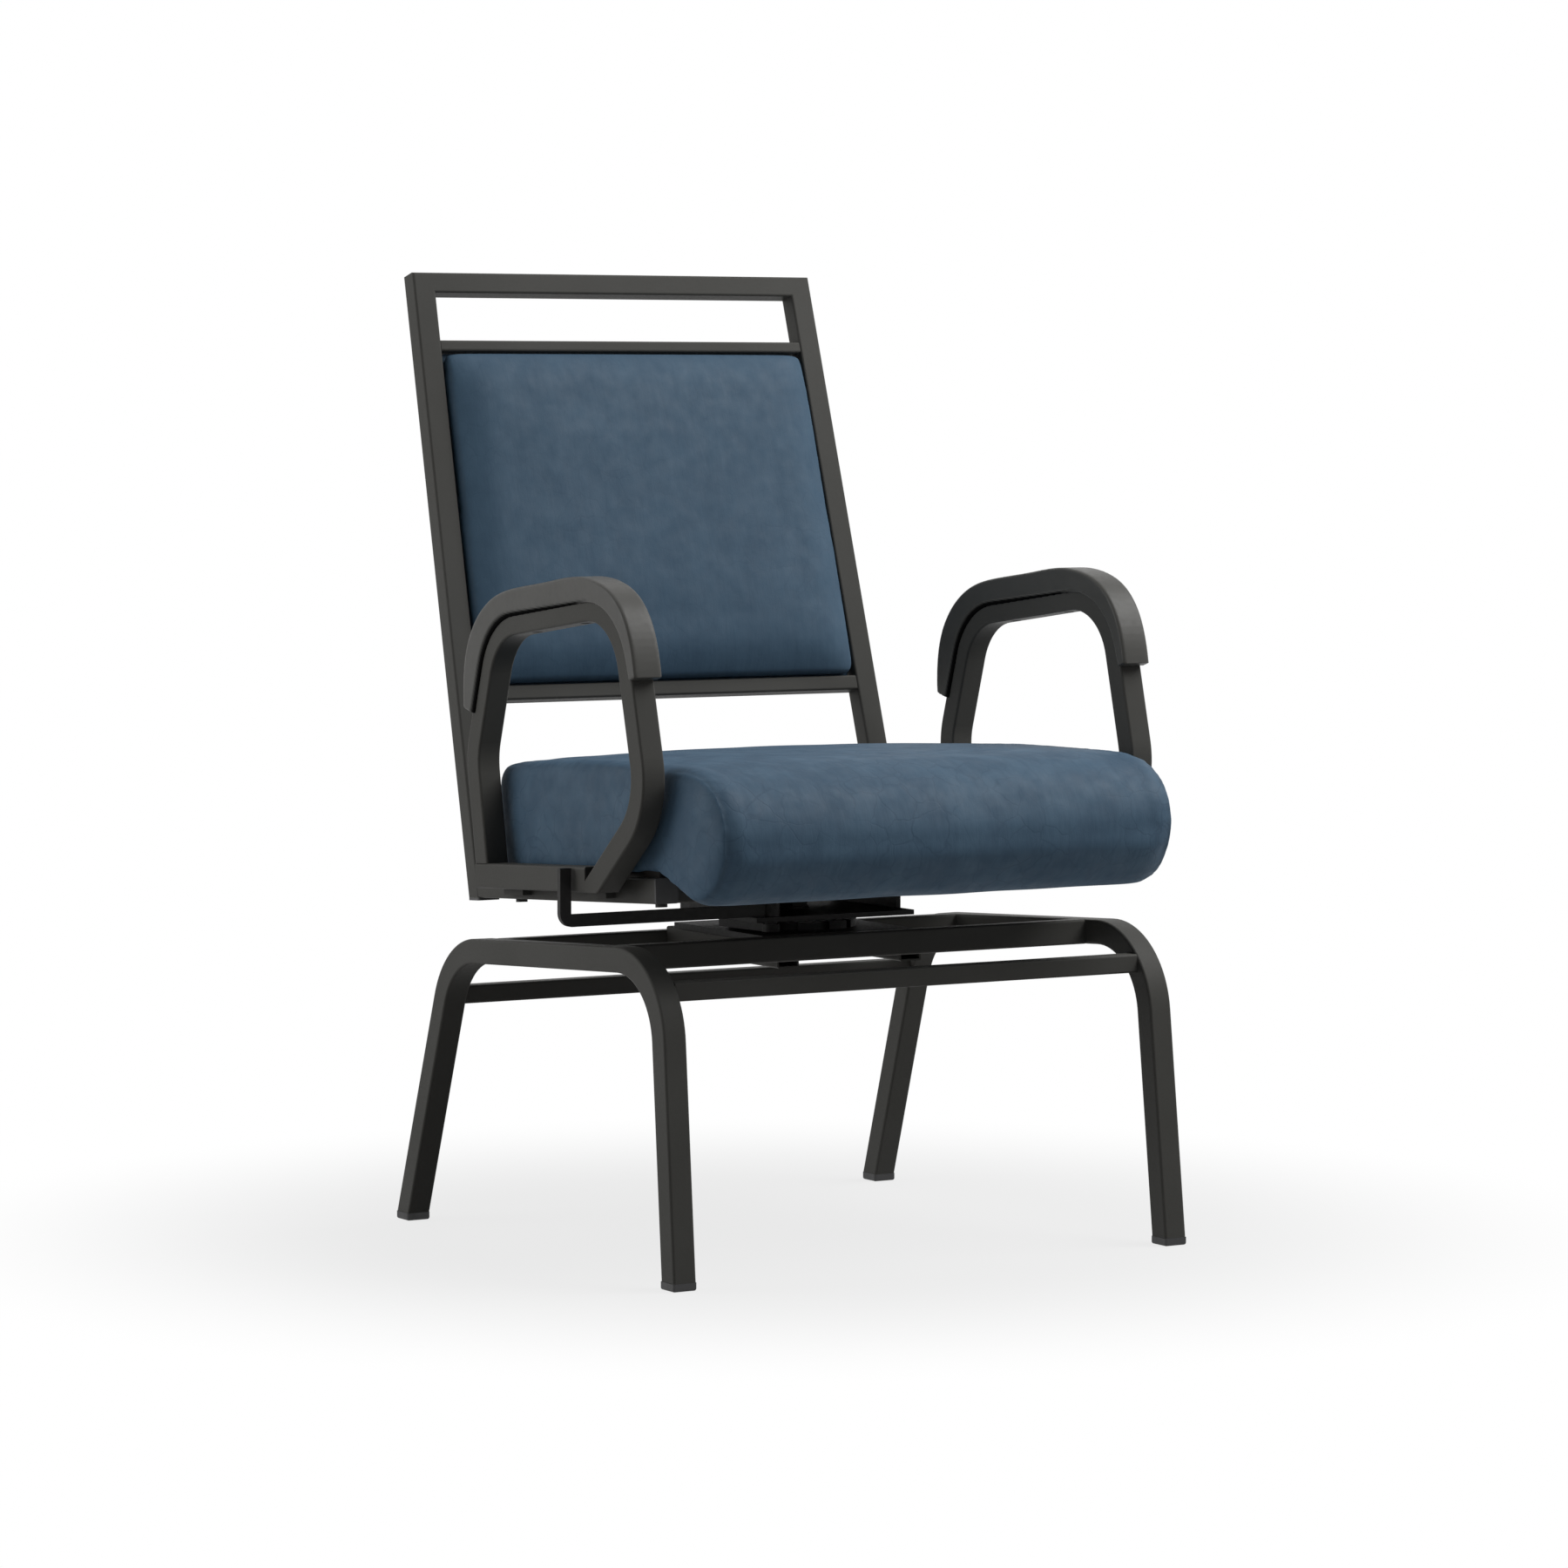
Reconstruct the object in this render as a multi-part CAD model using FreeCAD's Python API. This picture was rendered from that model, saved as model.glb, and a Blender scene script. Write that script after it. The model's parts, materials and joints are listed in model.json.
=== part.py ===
"""Dining armchair: a square-tube base, a seat that turns on it, bent arms and a leaning padded back."""

import FreeCAD
import Part
import math
import os

V = FreeCAD.Vector
UP = V(0, 0, 1)
ACROSS = V(1, 0, 0)
ALONG = V(0, 1, 0)

# Driving dimensions in millimetres and degrees; the chair faces -Y and its feet stand on Z = 0.
TUBE = 25.4
WALL = 1.8
TUBE_ROUND = 2.5
STRETCHER = 19.0
ARCH_OUTER = 301.6
ARCH_LINE = [(257.0, 0.0), (158.0, 292.7), (-272.0, 316.4), (-304.5, 0.0)]
ARCH_BEND = 82.0
ARCH_SPLAY = 0.8
ARCH_FALL = 3.15
GLIDE_HEIGHT = 8.0
FRONT_CROSSBAR = (-162.6, 310.0)
REAR_CROSSBAR = (84.4, 296.4)
FRONT_STRETCHER = (-259.6, 285.5)
REAR_STRETCHER = (174.3, 244.0)

SWIVEL_Y = -38.7
BASE_PLATE = 178.0
BASE_PLATE_BOTTOM = 314.0
BASE_PLATE_TOP = 320.0
MOUNT_BAR_X = 72.7
SPINDLE_RADIUS = 10.0
RUNNING_FIT = 0.05
BALL_RADIUS = 3.2
BALL_CIRCLE = 34.5
BALL_HEIGHT = 326.5
BALLS = 16
TOP_PLATE_BOTTOM = 333.0
TOP_PLATE_TOP = 338.0
RING_OUTER = 66.0
RING_INNER = 47.0
RING_TOP = 328.0
NOTCH_FLOOR = 59.2
NOTCHES = 12

SEAT_TILT = 3.3
SEAT_DATUM = 356.6
RAIL_INNER = 239.0
RAIL_FRONT = -177.0
CROSS_TUBES = [-164.0, -47.3, 55.3, 178.0]
BOARD_BOTTOM = TUBE
BOARD_TOP = 37.4
BOARD_FRONT = -172.0
CUSHION_HALF_WIDTH = 267.0
CUSHION_REAR = 140.0
CUSHION_EDGE = 134.0
CUSHION_CROWN = 145.5
CUSHION_CORNER = 20.0
NOSE_CENTRE = (-252.0, 65.0)
NOSE_RADIUS = 67.0
SKIRT_BOTTOM = 31.0
SKIRT_FRONT = -184.0

ARM_INNER = 274.7
ARM_LINE = [(75.1, 365.0), (98.3, 497.0), (55.2, 630.7), (-201.0, 662.2), (-251.6, 465.2), (-80.0, 321.8)]
ARM_BEND = 72.0
ARM_RAIL_REAR = 92.4
ARM_RAIL_FRONT = -138.7
ARM_RAIL_TOP = 394.3
ARM_RAIL_FALL = 3.06
ARM_BOLTS = (-78.0, 95.0)
PAD_INNER = 271.4
PAD_WIDTH = 32.0
PAD_LAP = 7.0
PAD_ROUND = 2.8
PAD_LINE = [
    (111.0, 546.0),
    (111.5, 572.0),
    (103.0, 610.0),
    (82.0, 639.0),
    (45.0, 661.5),
    (0.0, 671.5),
    (-66.0, 679.5),
    (-130.0, 686.0),
    (-165.0, 682.5),
    (-200.0, 669.5),
    (-223.0, 648.3),
    (-237.0, 621.0),
    (-244.5, 591.0),
]
PAD_SEAM = ARM_LINE[:4] + [(-268.0, 469.4), (-100.0, 330.0)]

BACK_LEAN = 15.53
BACK_TOP = (331.9, 994.5)
BACK_HALF_WIDTH = 244.6
BACK_FLARE = 0.0295
BACK_LENGTH = 700.0
BACK_DEPTH = 22.2
TOP_RAIL_DEPTH = 22.0
HAND_SLOT_END = 74.0
BACK_CUSHION_TOP = 86.0
BACK_CUSHION_BOTTOM = 449.0
LOWER_RAIL_END = 465.0
BACK_PILLOW = [
    (0, 12.0),
    (0, 4.0),
    (3, -4.0),
    (12, -12.5),
    (24, -19.5),
    (38, -23.0),
    (62, -24.5),
    (100, -25.0),
]

LEVER_Y = -74.0
LEVER_SHAFT_X = -70.0
LEVER_SHAFT_RADIUS = 6.0
LEVER_THICKNESS = 6.0
LEVER_BOTTOM = 338.3
LEVER_DEPTH = 12.5
LEVER_OUTER = -315.0
HANDLE_TOP = 397.0
LEVER_BEND = 14.0
PAWL_BOTTOM = 322.5
PAWL_TOP = 330.5
LOCK_TURN = 6.5


def box(x0, x1, y0, y1, z0, z1):
    """Block between two corners."""
    return Part.makeBox(x1 - x0, y1 - y0, z1 - z0, V(x0, y0, z0))


def rod(x, y, z0, z1, radius):
    """Upright cylinder."""
    return Part.makeCylinder(radius, z1 - z0, V(x, y, z0))


def ring(inner, outer, z0, z1):
    """Flat ring on the swivel axis."""
    return rod(0, 0, z0, z1, outer).cut(rod(0, 0, z0, z1, inner))


def rounded(bar, way):
    """Bar with its edges along one way rounded as on drawn tube."""
    return bar.makeFillet(TUBE_ROUND, [edge for edge in bar.Edges if runs_along(edge, way)])


def runs_along(edge, way):
    """Whether a straight edge lies within a few degrees of a direction."""
    start = edge.firstVertex().Point
    end = edge.lastVertex().Point
    return abs((end - start).normalize().dot(way)) > 0.99


def tube_across(half, y, z, size, tilt):
    """Square tube along X with its middle at y, z."""
    inner = size / 2 - WALL
    outer = size / 2
    tube = rounded(box(-half, half, -outer, outer, -outer, outer), ACROSS)
    tube = tube.cut(box(-half, half, -inner, inner, -inner, inner))
    tube.rotate(V(), ACROSS, -tilt)
    tube.translate(V(0, y, z))
    return tube


def tube_along(x0, y0, y1, z0):
    """Square tube along Y with its inner lower edge at x0, z0."""
    tube = rounded(box(x0, x0 + TUBE, y0, y1, z0, z0 + TUBE), ALONG)
    return tube.cut(box(x0 + WALL, x0 + TUBE - WALL, y0, y1, z0 + WALL, z0 + TUBE - WALL))


def mirrored(shape):
    """The same piece on the other side of the chair."""
    return shape.mirror(V(), ACROSS)


def both_sides(shapes):
    """Group of pieces together with their mirror images."""
    return Part.makeCompound(shapes + [mirrored(shape) for shape in shapes])


def bent_edges(points, radius, side):
    """Lines and arcs of a left-turning bent line in the YZ plane, moved to its right by side."""
    corners = [V(0, y, z) for y, z in points]
    ways = [(end - start).normalize() for start, end in zip(corners, corners[1:])]
    rights = [V(0, way.z, -way.y) for way in ways]
    last = corners[0] + rights[0] * side
    edges = []
    for i, corner in enumerate(corners[1:-1]):
        reach = radius * math.tan(ways[i].getAngle(ways[i + 1]) / 2)
        centre = corner - ways[i] * reach - rights[i] * radius
        start = corner - ways[i] * reach + rights[i] * side
        middle = centre + (corner - centre).normalize() * (radius + side)
        end = corner + ways[i + 1] * reach + rights[i + 1] * side
        edges.append(Part.makeLine(last, start))
        edges.append(Part.Arc(start, middle, end).toShape())
        last = end
    edges.append(Part.makeLine(last, corners[-1] + rights[-1] * side))
    return edges


def bent_bar(points, radius, sides, x0, x1):
    """Bar between two moved copies of a bent line, from x0 to x1."""
    near = bent_edges(points, radius, sides[0])
    far = bent_edges(points, radius, sides[1])
    ends = [
        Part.makeLine(near[0].firstVertex().Point, far[0].firstVertex().Point),
        Part.makeLine(near[-1].lastVertex().Point, far[-1].lastVertex().Point),
    ]
    wire = Part.Wire(Part.__sortEdges__(near + far + ends))
    bar = Part.Face(wire).extrude(V(x1 - x0, 0, 0))
    bar.translate(V(x0, 0, 0))
    return bar


def follows(edge, runs):
    """Whether an edge is one of the given edges, seen from the chair's side."""
    middle = edge.CenterOfMass
    places = [run.CenterOfMass for run in runs]
    return any(math.hypot(middle.y - place.y, middle.z - place.z) < 0.1 for place in places)


def bent_tube(points, radius, x0):
    """Square tube bent along a line."""
    outer = TUBE / 2
    inner = outer - WALL
    tube = bent_bar(points, radius, (-outer, outer), x0, x0 + TUBE)
    runs = bent_edges(points, radius, -outer) + bent_edges(points, radius, outer)
    tube = tube.makeFillet(TUBE_ROUND, [edge for edge in tube.Edges if follows(edge, runs)])
    return tube.cut(bent_bar(points, radius, (-inner, inner), x0 + WALL, x0 + TUBE - WALL))


def on_swivel(shape):
    """Move a piece drawn about the Z axis to the swivel axis."""
    shape.translate(V(0, SWIVEL_Y, 0))
    return shape


def on_seat(shape):
    """Set a piece drawn on the seat frame's bottom plane at the seat's tilt."""
    shape.rotate(V(), ACROSS, -SEAT_TILT)
    shape.translate(V(0, SWIVEL_Y, SEAT_DATUM))
    return shape


def on_back(shape):
    """Lean a piece drawn with the back's top front edge on the X axis."""
    shape.rotate(V(), ACROSS, -BACK_LEAN)
    shape.translate(V(0, BACK_TOP[0], BACK_TOP[1]))
    return shape


# Base: two leg arches joined by crossbars and stretchers.


def leg_arch():
    """Right arch, splayed at the feet and cut level above the glides."""
    arch = bent_tube(ARCH_LINE, ARCH_BEND, ARCH_OUTER - TUBE)
    arch.rotate(V(ARCH_OUTER, 0, 0), ALONG, -ARCH_SPLAY)
    return arch.cut(box(200, 400, -400, 400, -50, GLIDE_HEIGHT))


def foot_glide(foot, corner):
    """Moulded cap with a stem that follows the leg into the tube."""
    lean = (corner[0] - foot[0]) / (corner[1] - foot[1])
    middle_x = ARCH_OUTER - TUBE / 2
    middle_y = foot[0] + lean * GLIDE_HEIGHT
    half = TUBE / 2 + 0.6
    cap = box(middle_x - half, middle_x + half, middle_y - half, middle_y + half, 0, GLIDE_HEIGHT)
    cap = cap.makeFillet(2.5, [edge for edge in cap.Edges if edge.CenterOfMass.z < GLIDE_HEIGHT - 0.1])
    reach = TUBE / 2 - WALL - 0.7
    low = V(middle_x - reach, middle_y - reach, GLIDE_HEIGHT)
    stem = Part.makePlane(2 * reach, 2 * reach, low).extrude(V(0, 16 * lean, 16))
    return cap.fuse(stem).removeSplitter()


def welded_across(y, z, size, tilt):
    """Tube along X whose ends meet the splayed arches."""
    tube = tube_across(ARCH_OUTER - TUBE, y, z, size, tilt)
    arch = bent_bar(ARCH_LINE, ARCH_BEND, (-60, 60), ARCH_OUTER - TUBE, ARCH_OUTER)
    arch.rotate(V(ARCH_OUTER, 0, 0), ALONG, -ARCH_SPLAY)
    return tube.cut([arch, mirrored(arch)])


def crossbars():
    """Front and rear crossbars and the two stretchers, welded between the arches."""
    return {
        "front_crossbar": welded_across(*FRONT_CROSSBAR, TUBE, ARCH_FALL),
        "rear_crossbar": welded_across(*REAR_CROSSBAR, TUBE, ARCH_FALL),
        "front_stretcher": welded_across(*FRONT_STRETCHER, STRETCHER, 0),
        "rear_stretcher": welded_across(*REAR_STRETCHER, STRETCHER, 0),
    }


def mount_bar():
    """Right bar under the swivel, coped to the two crossbars."""
    start = FRONT_CROSSBAR[0]
    end = REAR_CROSSBAR[0]
    bar = tube_along(MOUNT_BAR_X - TUBE / 2, start, end, BASE_PLATE_BOTTOM - TUBE)
    for y, z in (FRONT_CROSSBAR, REAR_CROSSBAR):
        solid = box(0, 120, -TUBE / 2 - 20, TUBE / 2, -60, 60)
        if y > 0:
            solid = box(0, 120, -TUBE / 2, TUBE / 2 + 20, -60, 60)
        solid.rotate(V(), ACROSS, -ARCH_FALL)
        solid.translate(V(0, y, z))
        bar = bar.cut(solid)
    return bar


def plate_bolt(x, y):
    """Flat-head bolt through the base plate into a mount bar."""
    head = Part.makeCone(4, 8, 4, V(x, y, BASE_PLATE_TOP - 4))
    return head.fuse(rod(x, y, BASE_PLATE_BOTTOM - 16, BASE_PLATE_TOP - 4, 4)).removeSplitter()


def swivel_base():
    """Base plate on its bars, with bolts, spindle and nut."""
    bolts = [on_swivel(plate_bolt(x, y)) for x in (-MOUNT_BAR_X, MOUNT_BAR_X) for y in (-70, 70)]
    half = BASE_PLATE / 2
    plate = on_swivel(box(-half, half, -half, half, BASE_PLATE_BOTTOM, BASE_PLATE_TOP))
    flange = rod(0, 0, BASE_PLATE_BOTTOM - 6, BASE_PLATE_BOTTOM, 20)
    spindle = on_swivel(flange.fuse(rod(0, 0, BASE_PLATE_BOTTOM, 352, SPINDLE_RADIUS)).removeSplitter())
    hexagon = Part.makePolygon([V(17.3 * math.cos(a), 17.3 * math.sin(a), 340.5) for a in hex_angles()])
    nut = Part.Face(hexagon).extrude(UP * 9).cut(rod(0, 0, 340, 350, SPINDLE_RADIUS))
    bars = both_sides([mount_bar()])
    return {
        "swivel_mount_bars": bars.cut(bolts),
        "swivel_base_plate": plate.cut(bolts + [spindle]),
        "base_plate_bolts": Part.makeCompound(bolts),
        "swivel_spindle": spindle,
        "spindle_nut": on_swivel(nut),
    }


def hex_angles():
    """Corner angles of a closed hexagon."""
    return [math.radians(60 * i) for i in range(7)]


def around(count):
    """Even turns about the swivel axis, the first toward the left arm."""
    return [180 + 360 * i / count for i in range(count)]


def turned(shape, angle):
    """Copy of a piece turned about the Z axis."""
    copy = shape.copy()
    copy.rotate(V(), UP, angle)
    return copy


def bearing():
    """Thrust bearing between the plates: two grooved races, balls and their cage."""
    groove = Part.makeTorus(BALL_CIRCLE, BALL_RADIUS + 0.3, V(0, 0, BALL_HEIGHT))
    lower = ring(24, 45, BASE_PLATE_TOP, BALL_HEIGHT - 2).cut(groove)
    upper = ring(24, 45, BALL_HEIGHT + 2, TOP_PLATE_BOTTOM).cut(groove)
    ball = Part.makeSphere(BALL_RADIUS, V(BALL_CIRCLE, 0, BALL_HEIGHT))
    pocket = rod(BALL_CIRCLE, 0, 320, 333, BALL_RADIUS + 0.3)
    cage = ring(28.5, 40.5, BALL_HEIGHT - 0.9, BALL_HEIGHT + 0.9)
    cage = cage.cut([turned(pocket, angle) for angle in around(BALLS)])
    balls = Part.makeCompound([turned(ball, angle) for angle in around(BALLS)])
    return {
        "lower_bearing_race": on_swivel(lower),
        "upper_bearing_race": on_swivel(upper),
        "bearing_balls": on_swivel(balls),
        "bearing_cage": on_swivel(cage),
    }


def index_ring():
    """Ring with a notch every thirty degrees for the lock's tooth."""
    notch = box(NOTCH_FLOOR, RING_OUTER + 5, -4.6, 4.6, BASE_PLATE_TOP, RING_TOP)
    whole = ring(RING_INNER, RING_OUTER, BASE_PLATE_TOP, RING_TOP)
    return on_swivel(whole.cut([turned(notch, angle) for angle in around(NOTCHES)]))


# Seat: the turning plate, the tilted frame on it, the board and the cushion.


def top_plate():
    """Turning plate with its two sides bent up under the seat frame."""
    half = 94
    plate = box(-half, half, -86, 68, TOP_PLATE_BOTTOM, TOP_PLATE_TOP)
    side = box(half - 5, half, -60, 68, TOP_PLATE_TOP, 380)
    plate = plate.fuse([side, mirrored(side)]).removeSplitter()
    plate = plate.cut(rod(0, 0, 300, 400, SPINDLE_RADIUS + RUNNING_FIT))
    plate = plate.cut(rod(LEVER_SHAFT_X, LEVER_Y, 300, 400, LEVER_SHAFT_RADIUS + RUNNING_FIT))
    return on_swivel(plate).cut(on_seat(box(-200, 200, -200, 200, 0, 100)))


def frame_plug(x, y0, y1):
    """Moulded plug in the front end of a side rail."""
    head = rounded(box(x, x + TUBE, y0 - 3, y0, 0, TUBE), ALONG)
    stem = box(x + WALL, x + TUBE - WALL, y0, y1, WALL, TUBE - WALL)
    return head.fuse(stem).removeSplitter()


def seat_screw(y):
    """Screw from below through a side rail into the board."""
    x = RAIL_INNER + TUBE / 2
    head = rod(x, y, -3.5, 0, 6)
    return head.fuse(rod(x, y, 0, BOARD_BOTTOM + 9, 2.5)).removeSplitter()


def seat_board():
    """Board on the seat frame."""
    return on_seat(box(-255, 255, BOARD_FRONT, CUSHION_REAR - 2, BOARD_BOTTOM, BOARD_TOP))


def seat_frame():
    """Side rails that run back to the uprights, cross tubes, board, plugs and screws."""
    screws = both_sides([on_seat(seat_screw(y)) for y in (-168, 120)])
    rail = on_seat(tube_along(RAIL_INNER, RAIL_FRONT, 300, 0))
    rail = rail.cut(on_back(box(200, 300, 0, 300, -900, 100)))
    rail = rail.cut(screws)
    half = RAIL_INNER
    tubes = [on_seat(tube_across(half, y, TUBE / 2, TUBE, 0)) for y in CROSS_TUBES]
    return {
        "left_seat_rail": mirrored(rail),
        "right_seat_rail": rail,
        "seat_cross_tubes": Part.makeCompound(tubes),
        "seat_board": seat_board().cut(screws),
        "seat_screws": screws,
    }


def cushion_section(x, inset, top):
    """Side outline of the seat cushion at x: flat seat part, sloped underside and rolled front."""
    middle_y, middle_z = NOSE_CENTRE
    radius = NOSE_RADIUS - inset
    rear = CUSHION_REAR - inset
    diagonal = radius * math.sqrt(0.5)
    low = V(x, middle_y, middle_z - radius)
    front = V(x, middle_y - radius, middle_z)
    lower_front = V(x, middle_y - diagonal, middle_z - diagonal)
    upper_front = V(x, middle_y - diagonal, middle_z + diagonal)
    high = V(x, middle_y, middle_z + radius)
    crown = V(x, (middle_y + rear) / 2, top)
    corner = CUSHION_CORNER - inset
    rear_top = V(x, rear - corner, top - 0.5)
    rear_round = V(x, rear - 0.29 * corner, top - 0.5 - 0.29 * corner)
    rear_high = V(x, rear, top - 0.5 - corner)
    rear_low = V(x, rear, SKIRT_BOTTOM)
    bend = V(x, SKIRT_FRONT, SKIRT_BOTTOM)
    return Part.Wire(
        [
            Part.Arc(low, lower_front, front).toShape(),
            Part.Arc(front, upper_front, high).toShape(),
            Part.Arc(high, crown, rear_top).toShape(),
            Part.Arc(rear_top, rear_round, rear_high).toShape(),
            Part.makeLine(rear_high, rear_low),
            Part.makeLine(rear_low, bend),
            Part.makeLine(bend, low),
        ]
    )


def seat_cushion():
    """Boxed cushion: crowned top, drawn-in side edges and a rolled front, let down over the board's edge."""
    half = CUSHION_HALF_WIDTH
    rise = CUSHION_CROWN - CUSHION_EDGE
    sides = [(half, 7, 0.0), (half - 4, 2.5, 0.4), (half - 22, 0, 0.62), (half - 120, 0, 0.9)]
    places = [(-x, inset, share) for x, inset, share in sides]
    places += [(0, 0, 1.0)]
    places += sides[::-1]
    sections = [cushion_section(x, inset, CUSHION_EDGE + rise * share) for x, inset, share in places]
    return on_seat(Part.makeLoft(sections, True, True)).cut(seat_board())


# Arms: bent tubes on straight rails, bolted to the seat frame through spacers.


def below_arm_rail(top):
    """Everything under the arm rail's top or bottom plane."""
    block = box(200, 400, -400, 400, -200, top)
    block.rotate(V(), ACROSS, -ARM_RAIL_FALL)
    block.translate(V(0, SWIVEL_Y, ARM_RAIL_TOP))
    return block


def arm_rail():
    """Right arm rail, with a plate welded in each end."""
    start = ARM_RAIL_FRONT - SWIVEL_Y
    end = ARM_RAIL_REAR - SWIVEL_Y
    rail = tube_along(ARM_INNER, start, end, -TUBE)
    for y in (start + 2, end - WALL):
        plate = box(ARM_INNER + WALL, ARM_INNER + TUBE - WALL, y, y + WALL, WALL - TUBE, -WALL)
        rail = rail.fuse(plate)
    rail = rail.removeSplitter()
    rail.rotate(V(), ACROSS, -ARM_RAIL_FALL)
    rail.translate(V(0, SWIVEL_Y, ARM_RAIL_TOP))
    return rail.cut(box(200, 400, -400, ARM_RAIL_FRONT, 300, 500))


def trimmed_arm(shape):
    """Cut a bent arm where it meets the rail's top and front end."""
    behind = below_arm_rail(0).common(box(200, 400, ARM_RAIL_FRONT, 400, 200, 500))
    return shape.cut([behind, below_arm_rail(-TUBE)])


def arm_pad():
    """Right arm pad, lapped over the tube's sides."""
    curve = Part.BSplineCurve()
    curve.interpolate([V(PAD_INNER, y, z) for y, z in PAD_LINE])
    inner = [V(PAD_INNER, y, z) for y, z in ((-221.0, 584.0), (-180.0, 640.0), (50.0, 615.0), (84.5, 538.5))]
    closing = Part.makePolygon([curve.EndPoint] + inner + [curve.StartPoint])
    block = Part.Face(Part.Wire([curve.toShape()] + closing.Edges)).extrude(V(PAD_WIDTH, 0, 0))
    rim = [edge for edge in block.Edges if edge.Length > 400 and edge.CenterOfMass.z > 640]
    block = block.makeFillet(PAD_ROUND, rim)
    under = bent_bar(PAD_SEAM, ARM_BEND, (-40, TUBE / 2 - PAD_LAP), PAD_INNER - 1, PAD_INNER + PAD_WIDTH + 1)
    tube = bent_bar(ARM_LINE, ARM_BEND, (-TUBE / 2, TUBE / 2), ARM_INNER, ARM_INNER + TUBE)
    return block.cut([under, tube])


def pad_screw(y, z):
    """Screw into the pad, with its head inside the arm tube."""
    x = ARM_INNER + TUBE / 2
    wall = z + TUBE / 2 - WALL
    return rod(x, y, wall - 3, wall, 4.5).fuse(rod(x, y, wall, z + TUBE / 2 + 8, 2)).removeSplitter()


def screw_access(y, z):
    """Hole in the arm tube's underside through which a pad screw is driven."""
    return rod(ARM_INNER + TUBE / 2, y, z - TUBE / 2 - 4, z - TUBE / 2 + 4, 5.5)


def arm_spacer(y):
    """Steel block between the seat frame and the arm rail."""
    return box(RAIL_INNER + TUBE, ARM_INNER, y - 20, y + 20, 5, SKIRT_BOTTOM - 0.5)


def arm_bolt(y):
    """Bolt from inside the seat frame through the spacer into the arm rail."""
    shank = Part.makeCylinder(4, 51, V(RAIL_INNER, y, 17.5), ACROSS)
    head = Part.makeCylinder(7, 5.3, V(RAIL_INNER - 5.3, y, 17.5), ACROSS)
    return head.fuse(shank).removeSplitter()


def arms():
    """Both arms with what fixes them."""
    bolts = [on_seat(arm_bolt(y)) for y in ARM_BOLTS]
    spacers = [on_seat(arm_spacer(y)) for y in ARM_BOLTS]
    places = [(y, 655.5 - 0.123 * (y + 146)) for y in (-120, -20)]
    screws = [pad_screw(y, z) for y, z in places]
    tube = trimmed_arm(bent_tube(ARM_LINE, ARM_BEND, ARM_INNER))
    tube = tube.cut(screws + [screw_access(y, z) for y, z in places])
    rail = arm_rail().cut(bolts)
    pad = arm_pad().cut(screws)
    return {
        "left_arm_tube": mirrored(tube),
        "right_arm_tube": tube,
        "left_arm_rail": mirrored(rail),
        "right_arm_rail": rail,
        "left_arm_pad": mirrored(pad),
        "right_arm_pad": pad,
        "arm_pad_screws": both_sides(screws),
        "arm_spacers": both_sides([spacer.cut(bolts) for spacer in spacers]),
        "arm_bolts": both_sides(bolts),
    }


# Back: a leaning tube frame with a hand slot, a padded cushion and its panel.


def back_edge(down, inset):
    """Half width of the back at a distance down from its top."""
    return BACK_HALF_WIDTH + BACK_FLARE * down - inset


def back_prism(points, y0, y1):
    """Outline in the back's own plane given depth."""
    corners = [V(x, y0, -down) for x, down in points]
    return Part.Face(Part.makePolygon(corners + corners[:1])).extrude(V(0, y1 - y0, 0))


def back_upright():
    """Right upright, mitred to the top rail and cut on the seat frame's bottom plane."""
    share = WALL / TUBE
    shapes = []
    for start, wall in ((0.0, 0.0), (share, WALL)):
        top = TOP_RAIL_DEPTH * start
        low = TOP_RAIL_DEPTH * (1 - start)
        outline = [
            (back_edge(top, wall), top),
            (back_edge(low, TUBE - wall), low),
            (back_edge(BACK_LENGTH, TUBE - wall), BACK_LENGTH),
            (back_edge(BACK_LENGTH, wall), BACK_LENGTH),
        ]
        shapes.append(back_prism(outline, wall, BACK_DEPTH - wall))
    upright = on_back(rounded(shapes[0], UP).cut(shapes[1]))
    return upright.cut(on_seat(box(150, 350, 100, 400, -200, 0)))


def back_rail(down0, down1, y0, y1, mitre):
    """Rail across the back between two distances down from its top."""
    shapes = []
    for wall in (0.0, WALL):
        top = down0 + wall
        low = down1 - wall
        inset = (wall, TUBE - wall) if mitre else (TUBE, TUBE)
        outline = [
            (-back_edge(top, inset[0]), top),
            (back_edge(top, inset[0]), top),
            (back_edge(low, inset[1]), low),
            (-back_edge(low, inset[1]), low),
        ]
        shapes.append(back_prism(outline, y0 + wall, y1 - wall))
    return on_back(rounded(shapes[0], ACROSS).cut(shapes[1]))


def upright_plug(upright):
    """Flat moulded plug under the open lower end of an upright."""
    face = max(upright.Faces, key=lambda candidate: -candidate.CenterOfMass.z)
    outer = Part.Face(face.OuterWire)
    return outer.extrude(on_seat_down(3.0))


def on_seat_down(length):
    """Vector of a length straight down from the seat frame's bottom plane."""
    tilt = math.radians(SEAT_TILT)
    return V(0, -math.sin(tilt) * length, -math.cos(tilt) * length)


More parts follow.
